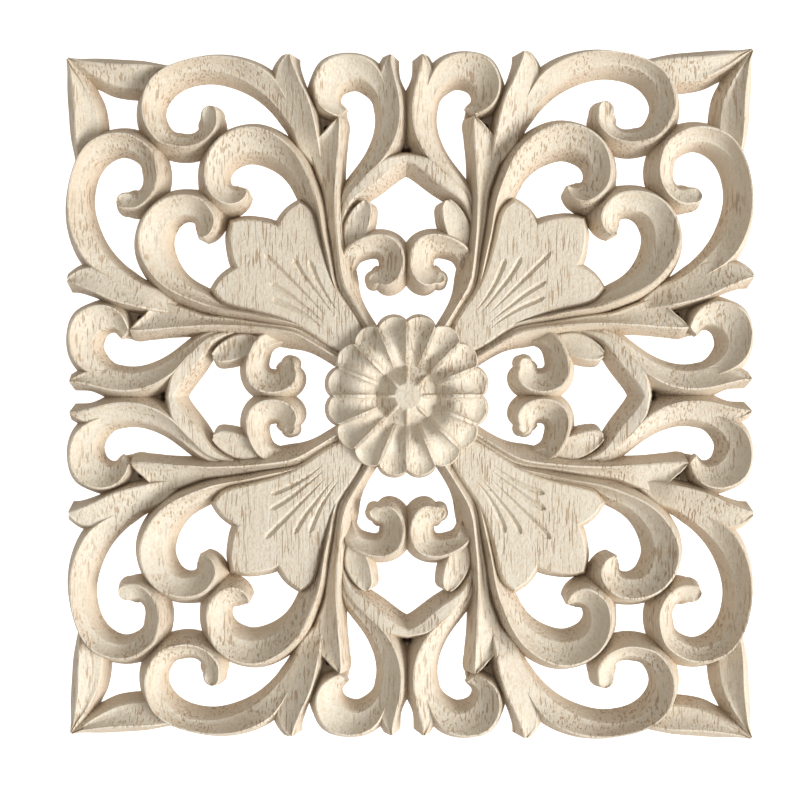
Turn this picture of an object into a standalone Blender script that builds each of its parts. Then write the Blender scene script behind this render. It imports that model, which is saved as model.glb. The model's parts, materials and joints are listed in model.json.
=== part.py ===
import math

import bmesh
import bpy
import numpy as np
from mathutils import Vector

# Pierced square wooden applique with carved scrolls, leaves and a rosette.
# The pattern is drawn in an eighth of the square and mirrored.
# Drawing coordinates: u to the right, v up, z out from the flat back.

# Driving sizes
UNIT = 0.000975            # metres in one unit of the drawing, for a 200 mm square
CREST = 11.3               # height of the outer edge of the scrolls
LIP = 5.8                  # height of their inner edge
COVE = 0.9                 # hollow of a scroll's face below the straight line
DRAFT_OUT = 0.27           # lean of the walls, offset in plan for each unit of height
DRAFT_IN = 0.28            # lean of the walls inside the scrolls
DRAFT_STEEP = 0.16         # lean of those walls at the far side of the scrolls
PALMETTE_Z = 8.0           # height of the flat fan
GROOVE_DEPTH = 1.2         # depth of the fan's grooves at their wide end
PETALS = 16                # petals of the rosette
PETAL_STEPS = 4            # facets across one petal
BUTTON_TOP_R = 4.2         # radius of the flat top of the middle button
BUTTON_R = 8.7             # radius of the button where it meets the petals
BUTTON_Z = 12.6            # height of the button
VALLEY_Z = 9.4             # height of the valley round the button
RIM_R = 21.6               # radius of the petals' outer edge in their notches
RIM_BULGE = 1.3            # how much further out a petal's middle stands
PETAL_CREST = 14.4         # height of the ridges between the petals
FLUTE = 1.7                # hollow of a petal between its ridges
RIM_Z = 11.6               # height of the ridges at the outer edge
RIM_LEAN = 0.12            # lean of the rosette's outer wall
SOLE = -1.0                # level below the back to which the pieces run before the trim
REACH = 112.0              # half size of the square that holds the drawing
TOP = 20.0                 # level above all relief
EIGHTH_FACES = 1200        # triangles kept in one eighth
SOLE_NEAR = 0.05           # height below which a point belongs to the flat back

WOOD_COLOUR = (0.66, 0.50, 0.33, 1.0)
WOOD_ROUGHNESS = 0.62


def clear_scene():
    # Remove all objects, so that the piece is alone in the file
    for old in list(bpy.data.objects):
        bpy.data.objects.remove(old, do_unlink=True)


def side_offset(rail, other, lean):
    # Foot of the wall below a rail, moved in plan away from the other rail
    points = np.array(rail, dtype=float)
    across = points[:, :2] - np.array(other, dtype=float)[:, :2]
    ahead = np.gradient(points[:, :2], axis=0)
    ahead /= np.linalg.norm(ahead, axis=1)[:, None] + 1e-12
    normal = np.stack([-ahead[:, 1], ahead[:, 0]], axis=1)
    turn = np.sign((normal * across).sum())
    foot = points.copy()
    drop = points[:, 2] - SOLE
    foot[:, :2] += normal * turn * (np.asarray(lean) * drop)[:, None]
    foot[:, 2] = SOLE
    return foot


def band_mesh(name, stations, cove, lean_a, lean_b, collection):
    # Body between two rails: stations are (ua, va, za, ub, vb, zb)
    table = np.array(stations, dtype=float)
    count = len(table)
    rail_a = table[:, 0:3]
    rail_b = table[:, 3:6]
    lean_a = np.broadcast_to(np.asarray(lean_a, dtype=float), (count,))
    lean_b = np.broadcast_to(np.asarray(lean_b, dtype=float), (count,))
    rows = [side_offset(rail_a, rail_b, lean_a), rail_a]
    if cove:
        middle = (rail_a + rail_b) / 2
        middle[:, 2] -= cove
        rows.append(middle)
    rows.append(rail_b)
    rows.append(side_offset(rail_b, rail_a, lean_b))
    ring = len(rows)
    points = np.stack(rows, axis=1).reshape(-1, 3)
    faces = []
    for step in range(count - 1):
        here = step * ring
        there = here + ring
        for place in range(ring):
            after = (place + 1) % ring
            faces.append((here + place, here + after, there + after, there + place))
    faces.append(tuple(range(ring - 1, -1, -1)))
    faces.append(tuple((count - 1) * ring + place for place in range(ring)))
    return solid_object(name, points, faces, collection)


def solid_object(name, points, faces, collection):
    # Closed mesh object with all faces turned outward
    mesh = bpy.data.meshes.new(name)
    mesh.from_pydata([tuple(point) for point in points], [], faces)
    shape = bmesh.new()
    shape.from_mesh(mesh)
    bmesh.ops.remove_doubles(shape, verts=shape.verts, dist=1e-5)
    bmesh.ops.triangulate(shape, faces=[f for f in shape.faces if len(f.verts) > 4])
    bmesh.ops.recalc_face_normals(shape, faces=shape.faces)
    if shape.calc_volume(signed=True) < 0:
        bmesh.ops.reverse_faces(shape, faces=shape.faces)
    shape.to_mesh(mesh)
    shape.free()
    obj = bpy.data.objects.new(name, mesh)
    collection.objects.link(obj)
    return obj


def prism(name, outline, low, high, lean, collection):
    # Upright body over an outline, wider at the foot by the lean of its walls
    top = [Vector((u, v, 0.0)) for u, v in outline]
    count = len(top)
    foot = []
    for place, point in enumerate(top):
        before = (point - top[place - 1]).normalized()
        after = (top[(place + 1) % count] - point).normalized()
        side = Vector((before.y + after.y, -before.x - after.x, 0.0))
        width = lean * (high - low) / max(0.6, side.length / 2)
        foot.append(point + side.normalized() * width)
    points = [(p.x, p.y, high) for p in top] + [(p.x, p.y, low) for p in foot]
    faces = [tuple(range(count)), tuple(range(2 * count - 1, count - 1, -1))]
    for place in range(count):
        after = (place + 1) % count
        faces.append((place, count + place, count + after, after))
    return solid_object(name, points, faces, collection)


def rosette(collection):
    # Ring of hollow petals round a button, as rings of points from the middle out
    around = PETALS * PETAL_STEPS
    angles = np.arange(around) * 2 * math.pi / around
    inside = (np.arange(around) % PETAL_STEPS) / PETAL_STEPS
    hollow = np.sin(math.pi * inside)
    rim = RIM_R + RIM_BULGE * hollow ** 0.5
    rings = [
        (np.full(around, BUTTON_TOP_R), np.full(around, BUTTON_Z)),
        (np.full(around, BUTTON_R), np.full(around, VALLEY_Z)),
        (np.full(around, 14.5), PETAL_CREST - FLUTE * hollow),
        (rim - 3.0, RIM_Z + 1.0 - FLUTE * hollow),
        (rim, RIM_Z - 0.3 * hollow),
        (rim + RIM_LEAN * (RIM_Z - SOLE), np.full(around, SOLE)),
    ]
    points = []
    for radius, height in rings:
        ring = np.stack([np.sin(angles) * radius, np.cos(angles) * radius, height], axis=1)
        points.extend(ring)
    faces = [tuple(range(around))]
    for level in range(len(rings) - 1):
        for place in range(around):
            after = (place + 1) % around
            low = level * around
            faces.append((low + place, low + after, low + around + after, low + around + place))
    last = (len(rings) - 1) * around
    faces.append(tuple(last + place for place in range(around)))
    return solid_object("rosette", points, faces, collection)


def groove(name, start, end, width, collection):
    # Pointed V cut in the fan: wide and deep at its middle, running out at both ends
    start = Vector((start[0], start[1], 0.0))
    end = Vector((end[0], end[1], 0.0))
    ahead = (end - start).normalized()
    side = Vector((-ahead.y, ahead.x, 0.0)) * width / 2
    wide = start.lerp(end, 0.3)
    above = 2.0
    points = []
    for centre, part in ((start, 0.05), (wide, 1.0), (end, 0.05)):
        rise = PALMETTE_Z + above
        spread = part * (1.0 + above / GROOVE_DEPTH)
        points.append((centre.x + side.x * spread, centre.y + side.y * spread, rise))
        points.append((centre.x - side.x * spread, centre.y - side.y * spread, rise))
        points.append((centre.x, centre.y, PALMETTE_Z - GROOVE_DEPTH * part))
    faces = [(0, 1, 2), (6, 8, 7)]
    for step in (0, 3):
        for place in range(3):
            after = (place + 1) % 3
            faces.append((step + place, step + 3 + place, step + 3 + after, step + after))
    return solid_object(name, points, faces, collection)


def join(target, collection, operation):
    # Exact Boolean of the target with all bodies of a collection
    change = target.modifiers.new(operation.lower(), 'BOOLEAN')
    change.operation = operation
    change.operand_type = 'COLLECTION'
    change.collection = collection
    change.solver = 'EXACT'
    change.use_self = True
    settle(target)


def settle(target):
    # Apply the modifiers of an object to its mesh
    bpy.context.view_layer.update()
    graph = bpy.context.evaluated_depsgraph_get()
    mesh = bpy.data.meshes.new_from_object(target.evaluated_get(graph))
    target.modifiers.clear()
    old = target.data
    target.data = mesh
    bpy.data.meshes.remove(old)


def new_collection(name):
    # Collection of helper bodies, linked to the scene
    group = bpy.data.collections.new(name)
    bpy.context.scene.collection.children.link(group)
    return group


def bodies(group):
    # All bodies of one eighth of the pattern
    crest = CREST
    lip = LIP
    lean = DRAFT_IN
    steep = DRAFT_STEEP
    # Big outer scroll, from the tall leaf round to its curled end
    band_mesh("outer_scroll", [
        (35.5, 88.0, 7.6, 34.6, 80.3, lip), (39.6, 94.0, 9.4, 38.6, 85.6, lip),
        (44.5, 97.1, 11.0, 43.2, 90.0, lip), (51.5, 99.3, crest, 49.6, 93.6, lip),
        (59.0, 99.7, crest, 56.9, 95.1, lip), (65.0, 98.7, crest, 62.0, 94.7, lip),
        (70.5, 96.8, crest, 66.2, 93.2, lip), (74.6, 93.9, crest, 69.5, 90.7, lip),
        (77.0, 90.3, crest, 71.6, 87.6, lip), (78.0, 86.0, crest, 72.3, 84.4, lip),
        (77.6, 81.5, crest, 71.7, 81.2, lip), (75.8, 77.8, crest, 70.3, 78.8, lip),
        (72.6, 75.0, crest, 68.4, 77.5, lip), (68.8, 73.6, crest, 66.2, 77.0, lip),
        (64.8, 73.4, 11.0, 64.0, 77.1, lip), (61.0, 74.4, 10.6, 62.0, 77.9, lip),
        (57.6, 76.6, 10.2, 59.7, 80.2, 6.0), (55.4, 80.6, 9.6, 60.1, 82.2, 6.2),
        (55.6, 84.0, 9.0, 60.2, 84.2, 6.6), (57.2, 85.4, 8.4, 59.3, 85.4, 7.0),
    ], COVE, DRAFT_OUT, [lean] * 4 + [steep] * 6 + [lean] * 2 + [0.38] * 5 + [0.34] * 3, group)
    # Inner scroll, from beside the stem round to its curled end
    band_mesh("inner_scroll", [
        (21.9, 34.0, 8.8, 22.8, 34.0, 6.4), (24.2, 45.0, 9.8, 25.6, 45.0, 6.2),
        (25.2, 51.0, 10.4, 27.0, 51.0, 6.0), (26.6, 57.5, 10.8, 29.3, 57.0, lip),
        (28.6, 63.5, 11.0, 32.0, 62.5, lip), (31.3, 69.3, crest, 35.0, 67.0, lip),
        (35.0, 74.0, crest, 38.3, 69.9, lip), (39.8, 77.3, crest, 41.8, 71.5, lip),
        (45.3, 78.9, crest, 45.6, 71.8, lip), (50.5, 78.1, crest, 48.9, 70.7, lip),
        (54.8, 75.6, crest, 51.4, 68.7, lip), (57.9, 72.0, crest, 52.7, 66.5, lip),
        (59.4, 67.6, crest, 52.9, 64.4, lip), (59.3, 63.2, crest, 52.2, 62.4, lip),
        (57.6, 59.6, crest, 50.9, 61.2, lip), (54.8, 57.4, crest, 49.3, 60.7, lip),
        (51.3, 56.6, 10.8, 48.0, 60.6, lip), (48.2, 57.2, 10.2, 46.8, 60.9, 6.2),
        (46.4, 58.9, 9.4, 45.9, 61.0, 7.0),
    ], COVE, [DRAFT_OUT] * 14 + [0.36] * 2 + [DRAFT_OUT, 0.22, 0.16], [0.33] * 8 + [steep] * 5 + [0.26] + [0.4] * 4 + [0.3],
        group)
    # Scroll beside the middle of the edge
    band_mesh("side_scroll", [
        (6.0, 91.0, 7.4, 7.8, 86.5, lip), (8.6, 96.0, 9.6, 9.2, 89.7, lip),
        (12.0, 98.7, 10.8, 11.6, 92.0, lip), (16.0, 99.8, 11.0, 14.3, 93.1, lip),
        (20.0, 99.7, 11.0, 16.8, 92.7, lip), (23.9, 97.9, 11.0, 18.8, 91.3, lip),
        (26.3, 94.5, 11.0, 20.0, 89.6, lip), (27.2, 90.6, 11.0, 20.4, 88.0, lip),
        (26.4, 87.0, 10.8, 20.2, 86.7, lip), (24.4, 84.6, 10.4, 19.3, 85.8, lip),
        (21.8, 83.4, 9.8, 18.2, 85.2, lip), (18.6, 83.3, 8.6, 17.4, 84.6, 6.4),
    ], COVE, [0.28] * 6 + [0.2] * 2 + [0.15] * 2 + [0.1] * 2,
        [0.3] * 2 + [steep] * 5 + [0.24] * 2 + [0.3] * 3, group)
    # Leaf beside the axis with the arm that carries the side scroll
    band_mesh("axis_leaf", [
        (4.4, 99.9, 9.4, 5.0, 99.9, 9.4), (4.3, 98.0, 10.0, 6.4, 97.9, 8.6),
        (3.8, 95.2, 10.4, 7.7, 95.0, 7.8), (2.9, 91.5, 10.6, 8.2, 91.5, 6.4),
        (2.0, 87.5, 10.6, 8.2, 88.0, lip), (1.7, 83.5, 10.6, 7.7, 84.5, lip),
        (2.0, 79.5, 10.6, 7.6, 80.5, lip), (3.2, 75.3, 10.4, 8.6, 75.8, lip),
        (5.2, 71.5, 10.2, 10.9, 71.0, lip), (8.0, 68.0, 9.6, 13.8, 66.9, 6.2),
        (11.5, 65.0, 8.8, 17.2, 62.8, 6.6), (15.0, 61.0, 8.2, 20.0, 58.0, 7.0),
        (17.5, 56.0, 7.8, 20.5, 53.0, 7.2),
    ], 0.6, [0.26, 0.24, 0.2, 0.24] + [0.33] * 9, [0.25] * 4 + [0.34] * 9, group)
    # Branch that joins the arm to the mirrored one on the axis
    band_mesh("axis_branch", [
        (-2.0, 70.0, 8.6, -2.0, 71.0, 8.0), (2.0, 67.5, 8.8, 2.0, 69.6, 8.0),
        (5.5, 65.0, 9.0, 6.0, 69.2, 8.0), (9.5, 62.4, 9.2, 10.5, 67.0, 8.0),
        (13.0, 59.9, 9.2, 14.5, 63.6, 8.0), (15.8, 56.7, 9.0, 18.0, 59.5, 8.0),
        (17.8, 52.0, 8.6, 20.2, 54.0, 7.8), (19.0, 47.0, 8.0, 20.8, 49.0, 7.6),
    ], 0.0, 0.38, 0.3, group)
    # Small leaf below the branch
    band_mesh("small_leaf", [
        (12.2, 45.5, 7.6, 19.0, 42.0, 6.2), (10.6, 49.2, 8.2, 19.3, 46.5, 6.0),
        (10.0, 52.2, 8.4, 19.0, 50.5, 6.2), (9.8, 55.0, 8.4, 16.5, 54.3, 6.8),
        (10.2, 57.0, 8.2, 12.5, 57.6, 7.6),
    ], 0.7, 0.22, 0.2, group)
    # Stem with its short leaf, fluted, running down to the rosette
    band_mesh("stem", [
        (19.4, 80.4, 9.2, 21.6, 80.0, 8.4), (19.5, 77.0, 9.3, 24.6, 76.6, 8.0),
        (19.8, 73.0, 9.3, 27.5, 73.0, 7.6), (20.3, 68.0, 9.3, 28.8, 68.0, 7.6),
        (20.6, 62.0, 9.3, 27.6, 62.0, 7.6), (20.7, 55.0, 9.3, 26.0, 55.0, 7.6),
        (20.3, 47.0, 9.3, 24.7, 47.0, 7.6), (19.4, 40.0, 9.3, 23.4, 40.0, 7.6),
        (18.0, 34.0, 9.3, 21.4, 34.0, 7.6), (16.0, 28.5, 9.3, 18.8, 28.5, 7.6),
        (13.2, 23.8, 9.3, 16.0, 23.8, 7.6), (10.0, 18.5, 9.3, 13.0, 18.5, 7.6),
    ], 0.9, [0.3, 0.27, 0.25, 0.26, 0.3, 0.36, 0.42, 0.44, 0.44, 0.29, 0.26, 0.26], 0.2, group)
    # Tall leaf, with the face that runs over into the outer scroll
    band_mesh("tall_leaf", [
        (33.9, 100.2, 10.2, 35.2, 100.2, 10.0), (33.4, 98.2, 10.8, 37.3, 98.0, 8.8),
        (32.2, 95.0, 11.0, 38.5, 94.8, 7.8), (30.6, 91.3, 11.0, 39.0, 91.5, 7.0),
        (29.0, 88.0, 10.8, 38.8, 87.3, 6.2), (27.8, 84.5, 10.4, 37.2, 83.8, lip),
        (26.9, 81.0, 10.0, 35.0, 80.8, lip), (26.2, 77.5, 9.4, 33.2, 77.4, 6.2),
        (25.6, 74.5, 8.6, 31.8, 73.8, 6.8), (25.0, 70.0, 7.6, 30.0, 69.5, 7.2),
    ], 0.5, [0.24, 0.19, 0.16, 0.15] + [0.2] * 6, [lean] * 10, group)
    # Low block between the stem's leaf, the end of the side scroll and the tall leaf
    band_mesh("bridge", [
        (18.0, 76.0, 3.5, 27.0, 76.0, 3.5), (17.4, 81.5, 3.5, 27.0, 81.5, 3.5),
        (18.0, 85.0, 3.5, 27.0, 85.0, 3.5),
    ], 0.0, 0.2, 0.1, group)
    # Thin floor of the small pocket on the axis, above the branch
    band_mesh("pocket_floor", [
        (-3.0, 67.0, 2.0, 3.0, 67.0, 2.0), (-3.0, 76.0, 2.0, 3.0, 76.0, 2.0),
    ], 0.0, 0.1, 0.1, group)
    # Half of the pointed corner leaf, a little past the diagonal
    band_mesh("corner_leaf", [
        (72.0, 97.0, 9.6, 74.0, 91.0, lip), (78.0, 97.6, 10.0, 79.0, 90.2, lip),
        (84.0, 97.8, 10.0, 84.2, 90.2, lip), (89.0, 98.3, 10.0, 88.6, 91.2, 6.8),
        (93.0, 98.9, 10.0, 93.4, 92.0, 8.6), (97.0, 99.6, 9.8, 97.5, 96.5, 9.2),
        (99.4, 100.1, 9.4, 100.2, 99.0, 9.4),
    ], 0.8, [DRAFT_OUT] * 3 + [0.22] * 2 + [0.16] * 2, [0.22] * 3 + [0.1] * 4, group)
    # Small volute at the side of the stem
    band_mesh("small_volute", [
        (18.5, 39.5, 8.0, 16.0, 34.0, 6.6), (17.2, 42.2, 9.4, 14.4, 38.4, 6.0),
        (14.0, 45.2, 10.4, 12.9, 41.0, 5.4), (10.4, 46.9, 10.8, 10.9, 42.3, 5.2),
        (6.8, 47.1, 10.8, 9.0, 42.5, 5.2), (3.6, 45.8, 10.8, 7.5, 41.7, 5.2),
        (1.6, 43.0, 10.8, 6.8, 40.4, 5.2), (1.0, 39.8, 10.8, 6.7, 39.0, 5.2),
        (1.6, 36.2, 10.8, 7.2, 38.1, 5.2), (3.4, 33.5, 10.8, 8.0, 37.5, 5.2),
        (6.2, 32.3, 10.4, 9.2, 37.3, 5.2), (8.9, 32.9, 9.6, 10.4, 37.3, 5.4),
        (10.8, 34.8, 8.6, 11.0, 36.8, 6.2),
    ], 0.8, DRAFT_OUT, [0.28, 0.2] + [0.28] * 4 + [0.3] * 3 + [0.4] * 4, group)
    half = [(12.0, 14.0), (15.0, 20.4), (18.0, 25.3), (20.8, 30.5), (23.2, 35.5),
            (25.2, 41.0), (26.3, 46.0), (27.2, 50.5), (28.6, 54.0), (30.5, 56.2),
            (32.4, 56.6), (34.6, 55.2), (36.6, 52.7), (38.3, 50.3), (40.5, 51.2),
            (44.0, 51.8), (48.0, 51.9), (51.6, 51.6)]
    mirrored = [(v, u) for u, v in reversed(half[:-1])]
    prism("fan", [(p[0], p[1]) for p in reversed(half + mirrored)],
          SOLE, PALMETTE_Z, 0.27, group)
    rosette(group)


def grooves(group):
    # Fan of pointed grooves, with their mirror images beyond the diagonal left out
    groove("groove_middle", (20.5, 20.5), (39.5, 39.5), 1.5, group)
    groove("groove_next", (19.2, 23.0), (32.3, 39.4), 1.4, group)
    groove("groove_side", (18.6, 25.0), (27.6, 38.4), 1.2, group)


def wedge(collection):
    # One eighth of the square: between the upper axis and the diagonal
    points = [(0, 0, 0), (REACH, REACH, 0), (0, REACH, 0),
              (0, 0, TOP), (REACH, REACH, TOP), (0, REACH, TOP)]
    faces = [(0, 2, 1), (3, 4, 5), (0, 1, 4, 3), (1, 2, 5, 4), (2, 0, 3, 5)]
    return solid_object("wedge", points, faces, collection)


def thinned(eighth):
    # Fewer triangles, with the open edge put back on the mirror planes
    mesh = bpy.data.meshes.new("eighth")
    eighth.to_mesh(mesh)
    count = len(eighth.faces)
    eighth.free()
    helper = bpy.data.objects.new("eighth", mesh)
    bpy.context.scene.collection.objects.link(helper)
    change = helper.modifiers.new("fewer", 'DECIMATE')
    change.ratio = min(1.0, EIGHTH_FACES / count)
    settle(helper)
    result = bmesh.new()
    result.from_mesh(helper.data)
    for vert in result.verts:
        if vert.is_boundary:
            beside = abs(vert.co.x - vert.co.y) / 2
            if abs(vert.co.x) < beside:
                vert.co.x = 0.0
            else:
                vert.co.x = vert.co.y = (vert.co.x + vert.co.y) / 2
        if abs(vert.co.z) < SOLE_NEAR:
            vert.co.z = 0.0
    return result


def drop_inner(eighth):
    # Take away faces in the mirror planes and pairs of faces that lie on each other
    seen = {}
    for face in eighth.faces:
        seen.setdefault(frozenset(vert.index for vert in face.verts), []).append(face)
    inner = []
    for same in seen.values():
        if len(same) > 1:
            inner.extend(same)
            continue
        verts = same[0].verts
        on_axis = all(vert.co.x == 0.0 for vert in verts)
        on_diagonal = all(vert.co.x == vert.co.y for vert in verts)
        if on_axis or on_diagonal:
            inner.append(same[0])
    bmesh.ops.delete(eighth, geom=inner, context='FACES')


def mirrored_mesh(source):
    # Whole mesh from one eighth: cut faces on the mirror planes go, copies are welded
    near = 1e-4
    eighth = bmesh.new()
    eighth.from_mesh(source)
    for vert in eighth.verts:
        if abs(vert.co.x) < near:
            vert.co.x = 0.0
        if abs(vert.co.x - vert.co.y) < near:
            vert.co.x = vert.co.y
        if abs(vert.co.z) < near:
            vert.co.z = 0.0
    bmesh.ops.remove_doubles(eighth, verts=eighth.verts, dist=near)
    drop_inner(eighth)
    bmesh.ops.dissolve_limit(eighth, angle_limit=math.radians(0.4),
                             verts=eighth.verts, edges=eighth.edges)
    bmesh.ops.triangulate(eighth, faces=eighth.faces)
    eighth = thinned(eighth)
    eighth.verts.index_update()
    drop_inner(eighth)
    points = np.array([vert.co[:] for vert in eighth.verts])
    eighth.verts.index_update()
    triangles = np.array([[vert.index for vert in face.verts] for face in eighth.faces])
    eighth.free()
    all_points = []
    all_triangles = []
    for swap in (False, True):
        base = points[:, [1, 0, 2]] if swap else points
        for sign_u in (1, -1):
            for sign_v in (1, -1):
                image = base * np.array([sign_u, sign_v, 1])
                flip = swap ^ (sign_u < 0) ^ (sign_v < 0)
                turned = triangles[:, ::-1] if flip else triangles
                all_triangles.append(turned + len(points) * len(all_points))
                all_points.append(image)
    flat = np.concatenate(all_points)
    placed = np.stack([flat[:, 0], -flat[:, 2], flat[:, 1]], axis=1) * UNIT
    return placed, np.concatenate(all_triangles)


def wood():
    # Pale close-grained wood with a dull finish
    material = bpy.data.materials.new("pale_wood")
    material.use_nodes = True
    shader = material.node_tree.nodes["Principled BSDF"]
    shader.inputs["Base Color"].default_value = WOOD_COLOUR
    shader.inputs["Roughness"].default_value = WOOD_ROUGHNESS
    shader.inputs["Metallic"].default_value = 0.0
    material.diffuse_color = WOOD_COLOUR
    return material


def main():
    clear_scene()
    shapes = new_collection("shapes")
    cuts = new_collection("cuts")
    bounds = new_collection("bounds")
    bodies(shapes)
    grooves(cuts)
    wedge(bounds)
    target = shapes.objects["rosette"]
    shapes.objects.unlink(target)
    bpy.context.scene.collection.objects.link(target)
    join(target, shapes, 'UNION')
    join(target, cuts, 'DIFFERENCE')
    join(target, bounds, 'INTERSECT')
    points, triangles = mirrored_mesh(target.data)
    for helper in list(bpy.data.objects):
        bpy.data.objects.remove(helper, do_unlink=True)
    for group in (shapes, cuts, bounds):
        bpy.data.collections.remove(group)
    mesh = bpy.data.meshes.new("applique")
    mesh.from_pydata([tuple(point) for point in points], [],
                     [tuple(triangle) for triangle in triangles.tolist()])
    whole = bmesh.new()
    whole.from_mesh(mesh)
    bmesh.ops.remove_doubles(whole, verts=whole.verts, dist=2e-6)
    bmesh.ops.recalc_face_normals(whole, faces=whole.faces)
    if whole.calc_volume(signed=True) < 0:
        bmesh.ops.reverse_faces(whole, faces=whole.faces)
    whole.to_mesh(mesh)
    whole.free()
    piece = bpy.data.objects.new("applique", mesh)
    piece.data.materials.append(wood())
    bpy.context.scene.collection.objects.link(piece)


main()
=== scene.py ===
import json
import math

import bmesh
import bpy
import numpy as np
from mathutils import Matrix, Vector

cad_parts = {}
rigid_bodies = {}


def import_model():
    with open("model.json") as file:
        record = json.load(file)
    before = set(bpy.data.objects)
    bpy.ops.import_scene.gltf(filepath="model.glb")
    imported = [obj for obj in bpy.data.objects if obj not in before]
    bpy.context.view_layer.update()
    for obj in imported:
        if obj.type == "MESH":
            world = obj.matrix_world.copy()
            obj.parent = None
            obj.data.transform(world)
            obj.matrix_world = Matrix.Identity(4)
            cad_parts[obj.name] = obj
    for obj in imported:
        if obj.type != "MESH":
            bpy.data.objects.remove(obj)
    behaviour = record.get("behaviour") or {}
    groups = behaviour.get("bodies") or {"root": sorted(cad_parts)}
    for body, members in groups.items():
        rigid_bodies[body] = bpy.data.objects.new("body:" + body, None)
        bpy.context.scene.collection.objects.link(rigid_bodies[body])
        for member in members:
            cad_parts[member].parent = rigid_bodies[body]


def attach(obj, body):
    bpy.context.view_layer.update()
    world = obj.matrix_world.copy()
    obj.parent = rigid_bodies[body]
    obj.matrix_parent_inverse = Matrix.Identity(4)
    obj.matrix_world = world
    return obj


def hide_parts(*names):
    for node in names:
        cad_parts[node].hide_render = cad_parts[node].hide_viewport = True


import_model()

bl_info = {
    "name": "Carved Wooden Applique",
    "version": (1, 0, 0),
    "blender": (4, 5, 0),
    "location": "View3D > Sidebar > Applique",
    "description": "Pierced square applique of carved scrolls, leaves and a rosette",
    "category": "Add Mesh",
}

# The pattern is drawn in one eighth of the square, between the upper axis and the
# diagonal, and mirrored. Drawing coordinates: u right, v up, z out from the flat back.
UNIT = 0.000975     # metres in a drawing unit
LIP = 5.8           # usual height of a band's inner rail
CREST = 11.3        # usual height of a scroll's outer rail
SPRING = 0.27       # usual lean of an outer wall
INWARD = 0.28       # usual lean of an inner wall
SOLE = -1.0         # level that all bodies reach, below the back that is cut flat
REACH = 112.0       # length of the wedge that cuts out the eighth
TOP = 20.0          # height of that wedge

NEAR = 1e-4         # a corner nearer than this to a mirror plane is put on it
WELD = 1e-5         # mirrored corners nearer than this become one
SAME_PLANE = 0.3    # degrees between facets that count as one face
# Merge distances of the carved mesh, tried in turn until every edge closes
CLOSE = (1e-3, 5e-4, 2e-3, 2e-4, 4e-3, 1e-4, 8e-3, 1.6e-2, 2.4e-2)

SAMPLES = 12        # points read off a spline per drawing unit, before it is spaced
FEWEST_SAMPLES = 40
FINEST = 0.3        # shortest facet along a curve, as a share of the step
NOSE_TURNS = (18.0, 36.0, 54.0, 70.0, 82.0, 90.0)   # degrees round a scroll's nose
BLUNT = 0.02        # share of the half width that is left at the end of a nose

# The rosette, in degrees from the upper axis and in drawing units
PETALS = 16
FLUTE_TURN = 45.0                # degrees between the button's ridges
SECTOR = (-4.5, 49.5)            # the sector that is modelled, wider than the eighth
SECTOR_COLUMNS = 109
LOBE_AT = 22.3                   # radius at which a petal's width is taken
LOBE_ROUND = 5.2                 # radius of a petal's round end
LOBE_SHARE = 0.85                # how far that round end stands out
RIDGE = 0.5                      # half width of the ridge between two petals
BUTTON_TOP = 12.9
BUTTON_RIM = 8.8
PETAL_CREST = 14.6               # radius of the petals' highest ring
PETAL_EDGE = 20.3                # radius at which the petals' round ends start
PETAL_FOOT = 8.8                 # height of the petals' crest line at the button
PETAL_RISE = 5.5                 # how far it rises to its highest ring
PETAL_HOLLOW = 2.3
RIM_CREST = 11.0                 # height that it falls towards at the rim
RIM_LEAN = 0.12
BUTTON_RADII = (0.0, 1.4, 2.8, 3.6, 4.1, 4.7, 5.4, 6.2, 7.0, 7.8, 8.4, 8.8)
PETAL_RADII = (9.2, 9.9, 10.7, 11.6, 12.5, 13.4, 14.3, 15.2, 16.2, 17.4, 18.6, 19.6)
LOBE_PARTS = (0.15, 0.35, 0.55, 0.75, 0.9)

# Drilled pits, with a painted shadow dark at the bottom: distance along an axis, distance aside,
# radius
PITS = ((72.6, 0.0, 1.9), (79.9, 23.6, 1.3))
# Heights where the pits' painted shadow fades out
PIT_DEPTHS = (0.004, 0.006)      # heights in metres between which a pit's colour ends

# Patterns in the wood. Noise: stretch along each axis, detail and roughness
WOOD_NOISE = {
    "growth": ((70.0, 70.0, 5.0), 3.0, 0.5),
    "fibre": ((1250.0, 1250.0, 95.0), 4.0, 0.65),
    "pore": ((1900.0, 1000.0, 190.0), 1.0, 0.4),
    "pore_patch": ((110.0, 110.0, 50.0), 2.0, 0.5),
    "fuzz": ((1250.0, 1250.0, 1000.0), 2.0, 0.8),
}
# The values between which a pattern's colour comes in: noise, heights in metres for
# painted shade low in the carving, and how far the surface faces the front for painted
# shade on walls
EDGES = {"growth": (0.35, 0.68), "fibre": (0.4, 0.66), "pore": (0.56, 0.66),
         "pore_patch": (0.34, 0.6), "fuzz": (0.5, 0.62), "low": (-0.0005, 0.0075),
         "wall": (0.2, 0.9)}
# The share of the darker colour where a pattern is full; for low and wall it is painted shade
SHARES = {"growth": 0.5, "fibre": 0.7, "low": 0.3, "wall": 0.22, "fuzz": 0.3, "pore": 0.62}
BUMP_STRENGTH = 0.8
BUMP_DISTANCE = 0.0003           # metres

# The stage, in metres: sheets, lamp and surroundings
SHEET_HALF = 2.4
SHEET_COLOUR = (0.8, 0.8, 0.8, 1.0)
SHEET_ROUGHNESS = 0.9
BACKDROP_GLOW = 0.62
SKY_COLOUR = (1.0, 0.93, 0.84, 1.0)
KEY_COLOUR = (1.0, 0.985, 0.96)
KEY_SIZE = 0.75
KEY_DISTANCE = 1.6
KEY_DIRECTION = (1.35, -1.0, -0.5)

# The camera, fitted to the photograph: turns in radians about the drawing's axes, its
# place in drawing units, and the pixel of the picture that it looks straight at
PICTURE = 800.0
CAMERA_TURNS = (-0.015625, 0.042228, -0.002881)
CAMERA_PLACE = (-9.8, 0.3, 421.0)
STRAIGHT_AHEAD = (314.45, 417.02)
SENSOR = 36.0

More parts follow.
